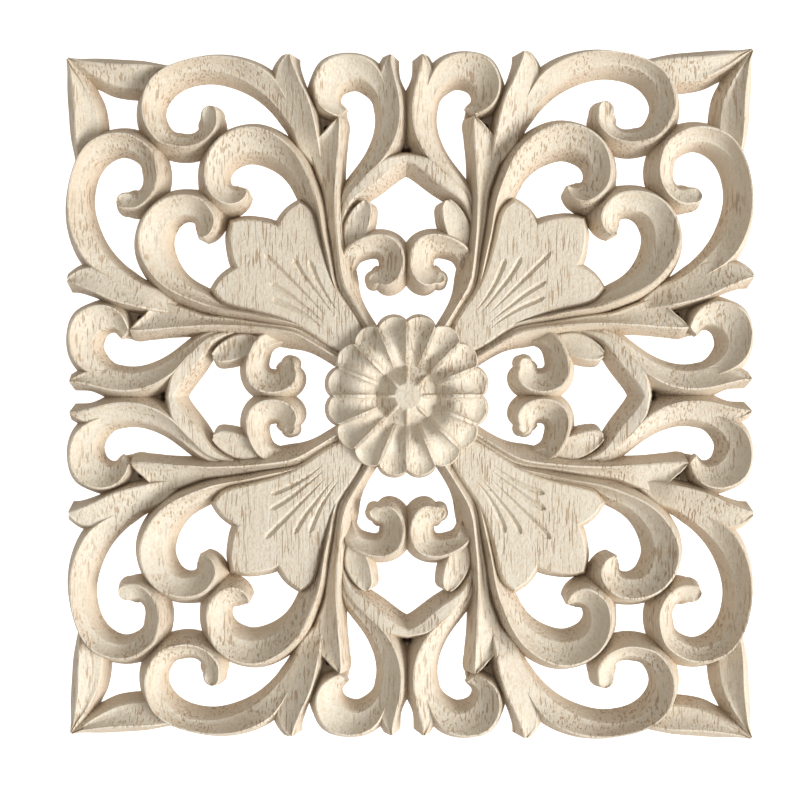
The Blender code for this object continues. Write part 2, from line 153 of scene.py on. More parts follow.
# Stations of the carved bands: outer rail (u, v, z), inner rail (u, v, z),
# lean of the outer wall, lean of the inner wall
BANDS = {
    "outer_scroll": dict(nose=True, cove=0.8, rows=6, stations=[
        (35.5, 88.0, 7.6, 34.6, 80.3, LIP, SPRING, INWARD),
        (39.6, 94.0, 9.4, 38.6, 85.6, LIP, SPRING, INWARD),
        (44.5, 97.1, 11.0, 43.2, 90.0, LIP, SPRING, 0.3),
        (51.5, 99.3, CREST, 49.5, 93.9, 6.0, SPRING, 0.36),
        (59.0, 99.6, CREST, 57.0, 96.0, 6.3, SPRING, 0.37),
        (65.0, 98.6, CREST, 62.4, 96.0, 6.5, SPRING, 0.4),
        (70.4, 96.6, CREST, 67.4, 94.6, 6.6, 0.29, 0.41),
        (74.3, 93.8, CREST, 71.1, 91.7, 6.6, 0.31, 0.37),
        (76.5, 90.2, CREST, 73.1, 88.1, 6.6, 0.31, 0.3),
        (77.5, 86.0, CREST, 73.6, 84.5, 6.6, 0.31, 0.25),
        (77.1, 81.6, CREST, 72.5, 81.0, 6.4, 0.31, 0.25),
        (75.4, 78.1, CREST, 70.6, 78.6, 6.0, 0.3, 0.27),
        (72.6, 75.0, CREST, 68.4, 77.4, LIP, SPRING, 0.36),
        (68.8, 73.6, CREST, 66.2, 77.0, LIP, SPRING, 0.36),
        (64.8, 73.2, 11.0, 64.0, 77.1, LIP, SPRING, 0.36),
        (61.0, 74.2, 10.6, 62.0, 77.9, LIP, SPRING, 0.36),
        (57.6, 76.6, 10.2, 60.2, 80.0, 6.2, 0.24, 0.34),
        (55.6, 80.0, 9.8, 60.4, 82.0, 6.6, 0.22, 0.3),
        (55.6, 83.2, 9.3, 60.6, 83.4, 7.2, 0.16, 0.16),
    ]),
    "inner_scroll": dict(nose=False, cove=0.8, rows=6, stations=[
        (20.4, 30.4, 7.6, 20.9, 30.2, 7.2, SPRING, 0.3),
        (21.2, 32.6, 8.3, 21.7, 32.4, 7.4, SPRING, 0.3),
        (22.3, 36.8, 9.0, 23.2, 36.8, 6.6, SPRING, 0.3),
        (23.5, 42.5, 9.8, 24.6, 42.8, 5.5, SPRING, 0.3),
        (24.7, 48.2, 10.4, 25.9, 48.8, 4.6, SPRING, 0.3),
        (25.6, 54.0, 10.8, 27.4, 54.4, 4.7, SPRING, 0.33),
        (27.1, 59.8, 10.9, 30.4, 59.0, 5.4, SPRING, 0.35),
        (28.7, 64.0, 11.0, 32.2, 62.9, LIP, SPRING, 0.37),
        (31.2, 69.3, CREST, 35.0, 67.0, LIP, SPRING, 0.4),
        (35.0, 74.0, CREST, 38.3, 69.9, LIP, SPRING, 0.46),
        (39.8, 77.3, CREST, 41.8, 71.6, LIP, SPRING, 0.48),
        (45.3, 78.9, CREST, 46.0, 72.4, 6.0, SPRING, 0.46),
        (50.5, 78.1, CREST, 49.5, 71.8, 6.4, SPRING, 0.44),
        (54.8, 75.6, CREST, 52.5, 69.9, 6.6, 0.29, 0.4),
        (57.7, 72.0, CREST, 53.8, 66.9, 6.6, 0.3, 0.28),
        (59.1, 67.6, CREST, 53.7, 64.4, 6.4, 0.3, 0.2),
        (59.0, 63.2, CREST, 52.8, 62.3, 6.0, 0.3, 0.26),
        (57.4, 59.6, CREST, 51.0, 61.2, LIP, 0.36, 0.38),
        (54.6, 57.2, CREST, 50.2, 61.0, LIP, 0.34, 0.36),
        (51.6, 56.3, 11.0, 49.0, 61.1, 6.0, 0.26, 0.3),
        (49.4, 56.9, 10.4, 48.2, 61.2, 6.4, 0.2, 0.24),
        (47.8, 58.2, 9.6, 47.6, 61.4, 7.0, 0.16, 0.16),
        (47.0, 59.8, 8.8, 47.2, 61.5, 7.6, 0.14, 0.1),
    ]),
    "side_scroll": dict(nose=False, cove=0.8, rows=6, stations=[
        (6.0, 91.0, 7.4, 7.8, 86.5, LIP, 0.28, 0.3),
        (8.6, 96.0, 9.6, 9.2, 89.8, LIP, 0.28, 0.34),
        (12.0, 98.7, 10.8, 11.7, 92.4, 6.0, 0.28, 0.4),
        (16.0, 99.7, 11.0, 14.5, 93.6, 6.2, 0.28, 0.4),
        (20.0, 99.5, 11.0, 17.2, 93.2, 6.2, 0.28, 0.38),
        (23.8, 97.8, 11.0, 19.3, 91.7, 6.2, 0.28, 0.3),
        (26.2, 94.5, 11.0, 20.4, 89.8, 6.0, 0.22, 0.24),
        (27.1, 90.6, 11.0, 20.7, 88.0, LIP, 0.22, 0.24),
        (26.4, 87.0, 10.8, 20.3, 86.6, LIP, 0.15, 0.26),
        (24.6, 84.4, 10.4, 19.3, 85.6, LIP, 0.15, 0.26),
        (22.2, 82.9, 9.6, 18.3, 85.0, 6.2, 0.1, 0.2),
        (20.2, 82.2, 8.8, 17.6, 84.6, 6.8, 0.1, 0.12),
    ]),
    "axis_leaf": dict(nose=False, cove=0.6, rows=5, stations=[
        (4.4, 99.9, 9.4, 5.0, 99.9, 9.4, 0.26, 0.25),
        (4.3, 98.0, 10.0, 6.4, 97.9, 8.6, 0.24, 0.25),
        (3.8, 95.2, 10.4, 7.7, 95.0, 7.8, 0.2, 0.25),
        (2.9, 91.5, 10.6, 8.2, 91.5, 6.4, 0.24, 0.25),
        (2.0, 87.5, 10.6, 8.2, 88.0, LIP, 0.33, 0.3),
        (1.7, 83.5, 10.6, 7.5, 84.5, LIP, 0.33, 0.32),
        (2.0, 79.5, 10.6, 7.4, 80.5, LIP, 0.33, 0.33),
        (3.2, 75.3, 10.4, 8.5, 75.8, LIP, 0.33, 0.34),
        (5.2, 71.5, 10.2, 10.8, 71.0, LIP, 0.33, 0.34),
        (8.0, 68.0, 9.6, 13.7, 66.8, 6.0, 0.33, 0.34),
        (11.5, 65.0, 8.8, 17.0, 62.6, 5.8, 0.33, 0.34),
        (14.6, 61.4, 7.8, 19.2, 58.6, 5.2, 0.33, 0.34),
        (16.8, 57.2, 6.6, 19.8, 54.4, 4.2, 0.33, 0.34),
        (18.4, 53.4, 4.4, 20.4, 51.0, 3.0, 0.33, 0.34),
    ]),
    "axis_branch": dict(nose=False, cove=0.0, rows=4, stations=[
        (-2.0, 69.6, 8.8, -2.0, 71.2, 8.8, 0.36, 0.3),
        (1.9, 68.1, 8.8, 2.0, 70.4, 9.2, 0.36, 0.3),
        (5.6, 65.4, 8.6, 6.1, 69.4, 9.6, 0.35, 0.3),
        (9.9, 61.9, 8.2, 10.5, 66.0, 8.9, 0.34, 0.3),
        (14.0, 59.2, 7.8, 14.8, 62.2, 7.9, 0.34, 0.3),
        (16.6, 56.9, 7.2, 17.6, 58.8, 6.9, 0.36, 0.3),
        (18.2, 54.0, 6.4, 18.9, 55.0, 6.0, 0.38, 0.3),
        (19.2, 50.8, 5.0, 19.7, 51.4, 4.4, 0.4, 0.3),
        (19.8, 47.0, 3.0, 20.4, 47.6, 2.4, 0.4, 0.3),
    ]),
    "small_leaf": dict(nose=False, cove=0.7, rows=5, stations=[
        (13.4, 44.5, 6.6, 17.2, 41.5, 5.0, 0.22, 0.2),
        (11.6, 48.4, 7.8, 18.1, 45.4, 5.8, 0.22, 0.2),
        (10.6, 51.6, 8.4, 18.4, 49.6, 6.2, 0.22, 0.2),
        (10.2, 54.4, 8.4, 16.9, 53.4, 6.8, 0.22, 0.2),
        (10.5, 56.2, 8.2, 14.6, 56.4, 7.4, 0.2, 0.1),
        (11.2, 57.3, 8.0, 13.0, 57.6, 7.7, 0.1, 0.1),
    ]),
    "stem": dict(nose=False, cove=0.9, rows=6, stations=[
        (19.7, 81.8, 8.9, 20.3, 81.5, 8.8, 0.3, 0.2),
        (19.4, 80.3, 9.2, 21.9, 80.2, 8.6, 0.3, 0.2),
        (19.5, 77.6, 9.3, 24.4, 77.6, 7.6, 0.27, 0.2),
        (19.6, 75.5, 9.3, 27.0, 75.6, 6.0, 0.26, 0.2),
        (19.8, 73.0, 9.3, 28.4, 73.0, 4.8, 0.25, 0.2),
        (20.2, 69.0, 9.3, 27.6, 69.4, 4.9, 0.26, 0.2),
        (20.5, 64.0, 9.3, 25.7, 64.4, 5.3, 0.28, 0.2),
        (20.8, 60.0, 9.3, 24.4, 60.6, 5.6, 0.32, 0.2),
        (20.8, 54.4, 9.3, 23.7, 54.8, 5.6, 0.38, 0.2),
        (20.6, 48.6, 9.3, 22.9, 48.9, 5.6, 0.43, 0.2),
        (20.1, 42.8, 9.3, 22.0, 43.0, 5.5, 0.47, 0.2),
        (19.4, 37.0, 9.3, 21.3, 37.1, 5.4, 0.5, 0.2),
        (18.2, 32.4, 9.3, 20.3, 32.3, 5.4, 0.47, 0.2),
        (15.9, 28.2, 9.3, 18.0, 28.0, 5.5, 0.32, 0.2),
        (13.2, 23.8, 9.3, 15.1, 23.4, 5.9, 0.26, 0.2),
        (10.4, 19.3, 9.3, 12.2, 18.9, 6.2, 0.26, 0.2),
    ]),
    "tall_leaf": dict(nose=False, cove=0.5, rows=6, stations=[
        (33.9, 100.2, 10.2, 35.2, 100.2, 10.0, 0.24, INWARD),
        (33.4, 98.2, 10.8, 37.3, 98.0, 8.8, 0.19, INWARD),
        (32.2, 95.0, 11.0, 38.5, 94.8, 7.8, 0.16, INWARD),
        (30.6, 91.3, 11.0, 39.0, 91.5, 7.0, 0.15, INWARD),
        (29.0, 88.0, 10.8, 38.8, 87.3, 6.2, 0.2, INWARD),
        (27.8, 84.5, 10.4, 37.2, 83.8, LIP, 0.2, INWARD),
        (26.9, 81.0, 10.0, 35.0, 80.8, LIP, 0.2, INWARD),
        (26.2, 77.5, 9.4, 33.2, 77.4, 5.6, 0.2, INWARD),
        (25.7, 74.6, 7.7, 31.9, 73.9, 5.0, 0.2, INWARD),
        (25.3, 72.0, 6.3, 29.6, 71.0, 4.7, 0.2, INWARD),
        (25.0, 69.4, 5.0, 27.6, 68.8, 4.4, 0.2, INWARD),
    ]),
    "corner_leaf": dict(nose=False, cove=0.8, rows=5, stations=[
        (70.6, 97.2, 7.8, 72.2, 92.6, 6.4, 0.29, 0.3),
        (73.6, 97.6, 8.6, 75.4, 91.4, 5.8, 0.29, 0.33),
        (78.0, 97.8, 9.6, 79.2, 91.2, LIP, 0.33, 0.36),
        (84.0, 97.9, 10.0, 84.4, 91.7, 6.2, 0.36, 0.34),
        (88.5, 98.2, 10.0, 88.2, 92.9, 7.0, 0.36, 0.32),
        (92.0, 98.6, 10.0, 91.6, 94.5, 7.9, 0.34, 0.27),
        (95.5, 99.1, 9.9, 95.0, 96.6, 8.7, 0.3, 0.4),
        (98.2, 99.7, 9.7, 97.9, 98.7, 9.2, 0.24, 0.6),
        (99.9, 100.2, 9.4, 99.8, 99.9, 9.3, 0.2, 0.7),
    ]),
    "small_volute": dict(nose=True, cove=0.7, rows=6, stations=[
        (18.9, 41.2, 5.2, 16.4, 36.0, 2.6, SPRING, 0.28),
        (17.4, 43.6, 8.4, 15.2, 40.0, 5.2, SPRING, 0.24),
        (14.2, 45.6, 10.2, 13.3, 41.8, 5.4, SPRING, 0.28),
        (10.4, 46.9, 10.8, 10.9, 42.4, 5.2, SPRING, 0.28),
        (6.8, 47.1, 10.8, 9.0, 42.5, 5.2, SPRING, 0.28),
        (3.6, 45.8, 10.8, 7.5, 41.7, 5.2, SPRING, 0.28),
        (1.6, 43.0, 10.8, 6.8, 40.4, 5.2, SPRING, 0.3),
        (1.0, 39.8, 10.8, 6.7, 39.0, 5.2, SPRING, 0.3),
        (1.6, 36.2, 10.8, 7.2, 38.0, 5.2, SPRING, 0.3),
        (3.4, 33.5, 10.8, 8.0, 37.4, 5.4, SPRING, 0.36),
        (6.2, 32.3, 10.4, 9.0, 37.1, 5.6, 0.22, 0.3),
        (8.4, 32.8, 9.6, 9.7, 36.6, 6.4, 0.12, 0.2),
    ]),
    "bridge": dict(nose=False, cove=0.0, rows=2, stations=[
        (18.0, 76.0, 1.2, 27.0, 76.0, 1.2, 0.2, 0.1),
        (17.4, 81.5, 1.2, 27.0, 81.5, 1.2, 0.2, 0.1),
        (18.0, 85.0, 1.2, 27.0, 85.0, 1.2, 0.2, 0.1),
    ]),
    "pocket_floor": dict(nose=False, cove=0.0, rows=2, stations=[
        (-3.0, 67.0, 1.0, 3.0, 67.0, 1.0, 0.1, 0.1),
        (-3.0, 71.5, 1.0, 3.0, 71.5, 1.0, 0.1, 0.1),
        (-3.0, 76.0, 1.0, 3.0, 76.0, 1.0, 0.1, 0.1),
    ]),
}

# Half outline of the fan, from its foot to the diagonal: runs of points between cusps
FAN_RUNS = [
    [(12.0, 14.0), (13.6, 19.6), (15.9, 24.0), (19.0, 28.4), (21.0, 31.6), (23.5, 37.0),
     (25.3, 42.8), (26.7, 48.6), (27.7, 52.5), (29.0, 55.0), (31.6, 57.0)],
    [(31.6, 57.0), (34.6, 55.0), (36.6, 52.6), (38.1, 50.0)],
    [(38.1, 50.0), (40.8, 51.2), (44.2, 51.9), (48.0, 52.2), (51.5, 51.5)],
]
# Valley lines of the fan's grooves, from the outer end inwards
GROOVES = [
    [(42.0, 42.0), (36.0, 36.0), (30.0, 30.0), (24.0, 24.0)],
    [(33.4, 40.6), (31.1, 36.5), (29.0, 33.5), (26.9, 30.9), (24.7, 28.0), (21.6, 24.4)],
    [(28.8, 40.2), (27.3, 36.3), (26.1, 33.6), (24.5, 30.8), (22.8, 28.2), (20.0, 24.7)],
]


def smooth_curve(points, step, turn):
    """Natural cubic spline through the rows of a table, over the mean length in plan of
    its rails. The second slopes solve the usual band of equations. It is read off so that
    no facet is longer than a step, or turns a rail by more than the turn in degrees."""
    table = np.array(points, dtype=float)
    gaps = np.linalg.norm(np.diff(table[:, :2], axis=0), axis=1)
    if table.shape[1] > 3:
        gaps = (gaps + np.linalg.norm(np.diff(table[:, 3:5], axis=0), axis=1)) / 2
    gaps = np.maximum(gaps, 1e-6)
    where = np.concatenate([[0.0], np.cumsum(gaps)])
    count = len(table)
    system = np.eye(count)
    right = np.zeros_like(table)
    inner = np.arange(1, count - 1)
    system[inner, inner - 1] = gaps[:-1] / 6
    system[inner, inner] = (gaps[:-1] + gaps[1:]) / 3
    system[inner, inner + 1] = gaps[1:] / 6
    slope = np.diff(table, axis=0) / gaps[:, None]
    right[inner] = slope[1:] - slope[:-1]
    bend = np.linalg.solve(system, right)

    def read(at):
        """Rows of the spline at lengths along it."""
        span = np.clip(np.searchsorted(where, at, side="right") - 1, 0, count - 2)
        low = ((where[span + 1] - at) / gaps[span])[:, None]
        high = 1.0 - low
        square = (gaps[span] ** 2 / 6)[:, None]
        return (low * table[span] + high * table[span + 1]
                + ((low ** 3 - low) * bend[span] + (high ** 3 - high) * bend[span + 1])
                * square)

    dense = np.linspace(0.0, where[-1], max(FEWEST_SAMPLES, int(where[-1] * SAMPLES)))
    line = read(dense)
    need = np.full(len(dense), 1.0 / step)
    for rail in range(0, 4 if table.shape[1] > 3 else 1, 3):
        ahead = np.gradient(line[:, rail:rail + 2], dense, axis=0)
        heading = np.unwrap(np.arctan2(ahead[:, 1], ahead[:, 0]))
        need = np.maximum(need, np.abs(np.gradient(heading, dense)) / math.radians(turn))
    need = np.minimum(need, 1.0 / (step * FINEST))
    total = np.concatenate([[0.0], np.cumsum((need[1:] + need[:-1]) / 2 * np.diff(dense))])
    wanted = np.linspace(0.0, total[-1], max(3, int(math.ceil(total[-1])) + 1))
    return read(np.interp(wanted, total, dense))


def plan_normals(rail, other):
    """Unit vectors in plan square to a rail and pointing away from the other rail,
    averaged over a few rows so that a tight curl keeps a round foot."""
    ahead = np.gradient(rail[:, :2], axis=0)
    ahead /= np.linalg.norm(ahead, axis=1)[:, None] + 1e-12
    normal = np.stack([-ahead[:, 1], ahead[:, 0]], axis=1)
    normal *= np.sign((normal * (rail - other)[:, :2]).sum())
    weights = np.array([1.0, 3.0, 5.0, 6.0, 5.0, 3.0, 1.0])
    reach = len(weights) // 2
    longer = np.concatenate([normal[:1].repeat(reach, 0), normal, normal[-1:].repeat(reach, 0)])
    return np.stack([np.convolve(longer[:, axis], weights / weights.sum(), "valid")
                     for axis in (0, 1)], axis=1)


def wall_foot(rail, normal, lean, level):
    """Points below a rail at a level, moved out in plan by the lean times the drop."""
    foot = rail.copy()
    foot[:, 2] = level
    foot[:, :2] += normal * (lean * (rail[:, 2] - level))[:, None]
    return foot


def rounded_end(table):
    """Rows that close a band with a round nose. The half width shrinks as cos a while
    the middle runs on by the half width times sin a, and the walls turn with it."""
    last = table[-1]
    middle = (last[0:3] + last[3:6]) / 2
    half = (last[0:3] - last[3:6]) / 2
    ahead = middle - (table[-2, 0:3] + table[-2, 3:6]) / 2
    across = half[:2] / np.linalg.norm(half[:2])
    ahead = ahead[:2] - across * (ahead[:2] @ across)
    ahead /= np.linalg.norm(ahead)
    turned = np.radians(NOSE_TURNS)[:, None]
    rows = np.repeat(last[None, :], len(turned), axis=0)
    centre = np.repeat(middle[None, :], len(turned), axis=0)
    centre[:, :2] += ahead * np.linalg.norm(half[:2]) * np.sin(turned)
    narrowed = np.cos(turned)
    narrowed[-1] = 0.0
    rows[:, 0:3] = centre + half * (narrowed + BLUNT)
    rows[:, 3:6] = centre - half * (narrowed + BLUNT)
    mean = (last[6] + last[7]) / 2
    rows[:, 6:8] = last[6:8] * np.cos(turned) + mean * (1.0 - np.cos(turned))
    rows[:, 8:10] = last[8:10] * np.cos(turned) + ahead * np.sin(turned)
    rows[:, 10:12] = last[10:12] * np.cos(turned) + ahead * np.sin(turned)
    return np.concatenate([table, rows])


def tube_faces(count, ring):
    """Faces of a closed tube of count rings with ring points each: a quad between
    neighbours along and round it, and one face over each end."""
    along = np.arange(count - 1)[:, None] * ring
    across = np.arange(ring)[None, :]
    after = (across + 1) % ring
    quads = np.stack([along + across, along + after, along + ring + after,
                      along + ring + across], axis=-1).reshape(-1, 4)
    last = (count - 1) * ring
    return quads.tolist() + [list(range(ring - 1, -1, -1)), list(range(last, last + ring))]


def band_surface(stations, nose, cove, rows, step, turn, worn):
    """Closed band between two splined rails. Across it: the outer wall, an arris worn
    back by a little, a face that hollows by cove * 4t(1 - t), the inner arris and wall."""
    table = smooth_curve(stations, step, turn)
    table = np.column_stack([table[:, :8], plan_normals(table[:, 0:3], table[:, 3:6]),
                             plan_normals(table[:, 3:6], table[:, 0:3])])
    if nose:
        table = rounded_end(table)
    outer, inner = table[:, 0:3], table[:, 3:6]
    lean_out, lean_in = table[:, 6], table[:, 7]
    away, inward = table[:, 8:10], table[:, 10:12]
    width = np.linalg.norm((outer - inner)[:, :2], axis=1)
    widest_arris = 0.2
    edge = np.minimum(worn / np.maximum(width, 1e-6), widest_arris)
    lines = [wall_foot(outer, away, lean_out, SOLE),
             wall_foot(outer, away, lean_out, outer[:, 2] - worn)]
    for place in np.linspace(0.0, 1.0, rows):
        share = (edge + (1.0 - 2 * edge) * place)[:, None]
        line = outer * (1.0 - share) + inner * share
        line[:, 2] -= cove * 4 * place * (1.0 - place)
        lines.append(line)
    lines.append(wall_foot(inner, inward, lean_in, inner[:, 2] - worn))
    lines.append(wall_foot(inner, inward, lean_in, SOLE))
    grid = np.stack(lines, axis=1)
    return grid.reshape(-1, 3), tube_faces(*grid.shape[:2])


def lobe_outline(lobe, step, turn):
    """Outline of one lobe of the fan and the lean of its wall: its splined edge and a
    way back through the middle of the fan, where the lobes overlap. The wall leans more
    over its first points, beside the inner scroll."""
    if lobe == "tip":
        half = smooth_curve(FAN_RUNS[2], step, turn)
        outline = np.concatenate([half, half[-2::-1, ::-1], [(30.0, 30.0)]])
        return outline, np.full((len(outline), 1), SPRING)
    beside = smooth_curve(FAN_RUNS[0], step, turn)[:-1]
    outline = np.concatenate([beside, smooth_curve(FAN_RUNS[1], step, turn),
                              [(38.6, 47.0), (38.6, 38.6), (14.0, 12.0)]])
    lean = np.full((len(outline), 1), SPRING)
    more, blend = 0.11, 6
    lean[:len(beside), 0] += more * np.clip((len(beside) - np.arange(len(beside))) / blend, 0, 1)
    if lobe == "side":
        return outline, lean
    return outline[::-1, ::-1], lean[::-1]


def fan_surface(lobe, step, turn, level, worn):
    """Flat-topped body over a lobe's outline, with its edge worn and its wall leaning:
    each ring is the outline moved out along its normals, which are mitred at corners up
    to a limit, by the lean times the drop."""
    outline, lean = lobe_outline(lobe, step, turn)
    before = outline - np.roll(outline, 1, axis=0)
    after = np.roll(outline, -1, axis=0) - outline
    before /= np.linalg.norm(before, axis=1)[:, None]
    after /= np.linalg.norm(after, axis=1)[:, None]
    side = np.stack([-(before + after)[:, 1], (before + after)[:, 0]], axis=1)
    size = np.linalg.norm(side, axis=1)[:, None]
    mitre_limit = 0.6
    side = side / size / np.maximum(size / 2, mitre_limit)
    rings = []
    for out, height in ((-worn, level), (worn * lean, level - worn),
                        (lean * (level - SOLE), SOLE)):
        rings.append(np.column_stack([outline + side * out, np.full(len(outline), height)]))
    count = len(outline)
    place = np.arange(count)
    after = (place + 1) % count
    quads = []
    for ring in range(2):
        base = ring * count
        quads.append(np.stack([base + place, base + after, base + count + after,
                               base + count + place], axis=1))
    caps = [place[::-1].tolist(), (2 * count + place).tolist()]
    return np.concatenate(rings), np.concatenate(quads).tolist() + caps


def groove_surface(line, step, width, depth, level):
    """Cutter of V section along a splined line. Its width and depth swell to the full
    size just inside its blunt outer end, and fall by a power of the way along it to its
    fine inner end. It reaches above the fan's level, so that it cuts right through."""
    path = smooth_curve(line, step, 90.0)
    share = np.linspace(0.0, 1.0, len(path))
    swell = np.minimum(1.0, share / 0.05 + 0.35) * (1.0 - share ** 2.2 * 0.93)
    ahead = np.gradient(path, axis=0)
    ahead /= np.linalg.norm(ahead, axis=1)[:, None]
    side = np.stack([-ahead[:, 1], ahead[:, 0]], axis=1)
    above = 1.5
    half = (width / 2 * swell * (1.0 + above / (depth * swell)))[:, None]
    high = np.full(len(path), level + above)
    left = np.column_stack([path + side * half, high])
    right = np.column_stack([path - side * half, high])
    keel = np.column_stack([path, level - depth * swell])
    grid = np.stack([left, keel, right], axis=1)
    return grid.reshape(-1, 3), tube_faces(*grid.shape[:2])


def button_rings(angle):
    """Rings of the fluted button, as radius and height. Its ridges stay level and then
    fall by a power of the way out. Each flute between them is scooped lower, as far as
    |sin| of the angle times the radius leaves a ridge clear."""
    flute = np.abs(np.sin(np.pi * (np.degrees(angle) / FLUTE_TURN)))
    rings = []
    for radius in BUTTON_RADII:
        ridge = BUTTON_TOP - 3.9 * max(0.0, (radius - 5.0) / 3.8) ** 1.3
        scoop = min(1.0, max(0.0, (radius - 3.7) / 4.9))
        valley = BUTTON_TOP - 4.2 * (1.0 - (1.0 - scoop) ** 1.3)
        clear = np.clip((flute * radius * 0.39 - 0.38) / 0.9, 0.0, 1.0) ** 0.6
        rings.append((np.full(len(angle), radius),
                      ridge + (min(valley, ridge) - ridge) * clear))
    return rings


def petal_rings(angle, notch):
    """Rings of the petals, as radius and height. The crest line rises as a sine to the
    highest ring and falls as a cosine beyond it. The hollow between two ridges is the
    root of the sine of the way from the ridge to the petal's middle. The rim is the
    radius of the notches and, over each petal, the height of a round lobe."""
    phase = np.degrees(angle) / (360.0 / PETALS)
    phase = phase - np.floor(phase)
    chord = LOBE_AT * np.sin(np.pi / PETALS) * 2
    across = (phase - 0.5) * chord
    near = chord / 2 - np.abs(across)
    rings = []
    for radius in PETAL_RADII:
        bell = math.cos(math.pi / 2 * max(-1.0, (radius - PETAL_CREST) / 6.4))
        rise = math.sin(math.pi / 2 * min(1.0, (radius - BUTTON_RIM) / 5.8))
        if radius <= PETAL_CREST:
            crest = PETAL_FOOT + PETAL_RISE * rise
        else:
            crest = RIM_CREST + 3.3 * bell ** 0.8
        depth = PETAL_HOLLOW * min(1.0, (radius - 8.4) / 3.6)
        half = chord / 2 * radius / LOBE_AT
        open_part = np.clip((near * radius / LOBE_AT - RIDGE) / (half - RIDGE), 0, 1)
        rings.append((np.full(len(angle), radius),
                      crest - depth * np.sin(np.pi / 2 * open_part) ** 0.5))
    lobe = (np.sqrt(LOBE_ROUND ** 2 - across ** 2)
            - math.sqrt(LOBE_ROUND ** 2 - (chord / 2) ** 2))
    rim = notch + lobe * LOBE_SHARE
    edge = rim - PETAL_EDGE
    open_part = np.clip((near - RIDGE) / (chord / 2 - RIDGE), 0.0, 1.0)
    scoop = np.sin(np.pi / 2 * open_part) ** 0.5
    for part in LOBE_PARTS:
        bell = math.cos(math.pi / 2 * (5.7 + 1.6 * part) / 9.0)
        rings.append((PETAL_EDGE + edge * part,
                      RIM_CREST + 1.7 * bell - (PETAL_HOLLOW - 1.0 * part ** 3) * scoop))
    rings.append((rim - 0.15, 10.9 - 0.9 * scoop))
    rings.append((rim + 0.05, 10.5 - 0.9 * scoop))
    rings.append((rim + RIM_LEAN * (RIM_CREST - SOLE), np.full(len(angle), SOLE)))
    return rings


def rosette_surface(notch):
    """Sector of the rosette as rings by columns over a flat sole. The last ring lies in
    the sole, and a wall closes each side of the sector."""
    columns = SECTOR_COLUMNS
    angle = np.radians(np.linspace(*SECTOR, columns))
    rings = button_rings(angle) + petal_rings(angle, notch)
    grid = np.stack([np.column_stack([np.sin(angle) * r, np.cos(angle) * r, z])
                     for r, z in rings], axis=0)
    floor = grid[:-1].copy()
    floor[:, :, 2] = SOLE
    rows = len(rings)
    row = np.arange(rows - 1)[:, None] * columns
    column = np.arange(columns - 1)[None, :]
    top = np.stack([row + column, row + column + 1, row + columns + column + 1,
                    row + columns + column], axis=-1).reshape(-1, 4)
    base = rows * columns
    low = row[:-1] + base
    under = np.stack([low + column, low + columns + column, low + columns + column + 1,
                      low + column + 1], axis=-1).reshape(-1, 4)
    last_low = base + (rows - 2) * columns
    last_top = (rows - 1) * columns
    rim_row = np.stack([last_low + column[0], last_top + column[0], last_top + column[0] + 1,
                        last_low + column[0] + 1], axis=-1)
    sides = []
    for edge_column in (0, columns - 1):
        here = np.arange(rows - 2) * columns + edge_column
        sides.append(np.stack([here, here + columns, here + base + columns, here + base],
                              axis=-1))
        sides.append(np.array([[last_low - base + edge_column, last_top + edge_column,
                                last_low + edge_column, last_low + edge_column]]))
    points = np.concatenate([grid.reshape(-1, 3), floor.reshape(-1, 3)])
    faces = np.concatenate([top, under, rim_row] + sides).tolist()
    return points, [list(dict.fromkeys(face)) for face in faces]


def turn_outwards(shape):
    """Faces of a closed bmesh turned to point out of it, by the sign of its volume."""
    bmesh.ops.recalc_face_normals(shape, faces=shape.faces)
    if shape.calc_volume(signed=True) < 0:
        bmesh.ops.reverse_faces(shape, faces=shape.faces)


def helper_body(name, surface, group):
    """Closed helper object from points and faces, turned to face outwards."""
    points, faces = surface
    mesh = bpy.data.meshes.new(name)
    mesh.from_pydata([tuple(point) for point in points.tolist()], [], faces)
    shape = bmesh.new()
    shape.from_mesh(mesh)
    bmesh.ops.remove_doubles(shape, verts=shape.verts, dist=WELD)
    bmesh.ops.triangulate(shape, faces=[f for f in shape.faces if len(f.verts) > 4])
    turn_outwards(shape)
    shape.to_mesh(mesh)
    shape.free()
    body = bpy.data.objects.new(name, mesh)
    group.objects.link(body)
    return body


def carve(target, group, operation):
    """Exact Boolean of the target with all bodies of a group."""
    change = target.modifiers.new(operation.lower(), "BOOLEAN")
    change.operation = operation
    change.operand_type = "COLLECTION"
    change.collection = group
    change.solver = "EXACT"
    change.use_self = True
    bpy.context.view_layer.update()
    graph = bpy.context.evaluated_depsgraph_get()
    mesh = bpy.data.meshes.new_from_object(target.evaluated_get(graph))
    target.modifiers.clear()
    target.data = mesh


def wedge_surface():
    """Prism over one eighth of the square, between the upper axis and the diagonal."""
    low = [(0, 0, 0), (REACH, REACH, 0), (0, REACH, 0)]
    high = [(u, v, TOP) for u, v, _ in low]
    return np.array(low + high, float), [(0, 2, 1), (3, 4, 5), (0, 1, 4, 3), (1, 2, 5, 4),
                                         (2, 0, 3, 5)]


